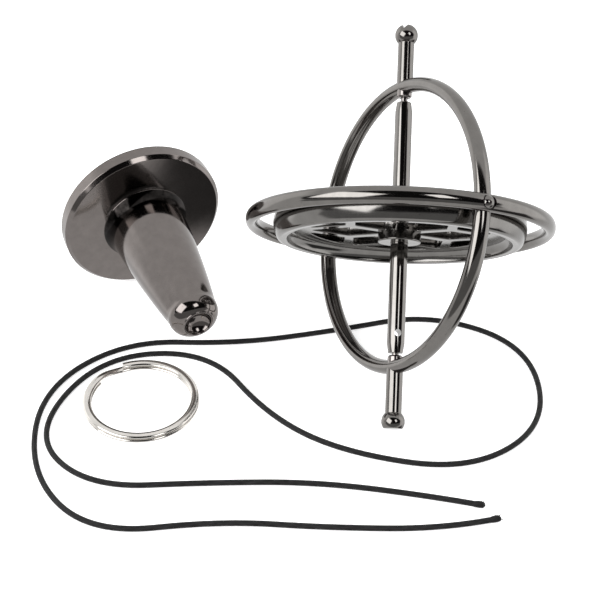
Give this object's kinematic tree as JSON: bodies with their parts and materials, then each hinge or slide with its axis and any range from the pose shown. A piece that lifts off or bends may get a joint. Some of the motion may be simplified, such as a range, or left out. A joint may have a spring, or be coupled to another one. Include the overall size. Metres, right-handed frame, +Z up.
{
  "type": "toy gyroscope set",
  "caption": "Classroom gyroscope with a caged flywheel, laid beside its pedestal stand, a split ring and its pull cord.",
  "frame": {"origin": "the point of the table that the gyroscope's foot touches", "axes": "+Z up from the table, +Y the way the gyroscope's axis leans, +X to its right"},
  "size_m": [0.1089, 0.0971, 0.0615],
  "materials": {
    "dark_plating": "gunmetal black-nickel plating, polished",
    "flywheel_plating": "gunmetal black-nickel plating over a casting, polished",
    "shaft_plating": "gunmetal black-nickel plating, polished",
    "bright_steel": "hardened steel, ground bright",
    "stand_plating": "gunmetal black-nickel plating over a casting, polished",
    "bright_nickel": "bright nickel plating",
    "cord_black": "matte black braided cord"
  },
  "bodies": {
    "stand": {"stand_base": "stand_plating", "stand_column": "stand_plating", "split_ring": "bright_nickel", "pull_cord": "cord_black"},
    "gyroscope_frame": {"vertical_ring": "dark_plating", "horizontal_ring": "dark_plating", "ring_rivets": "dark_plating", "top_post": "dark_plating", "foot_post": "dark_plating", "bearing_cups": "dark_plating"},
    "rotor": {"flywheel": "flywheel_plating", "rotor_shaft": "shaft_plating", "pivot_pins": "bright_steel"}
  },
  "joints": [
    {"name": "gyroscope_tip_up", "type": "hinge", "parent": "stand", "child": "gyroscope_frame", "pos_m": [0, 0, 0], "axis": [1, 0, 0], "range_deg": [0, 47.59]},
    {"name": "rotor_spin", "type": "hinge", "parent": "gyroscope_frame", "child": "rotor", "pos_m": [0, 0.03069, 0.03075], "axis": [0, 0.7383, 0.6745], "continuous": true}
  ]
}
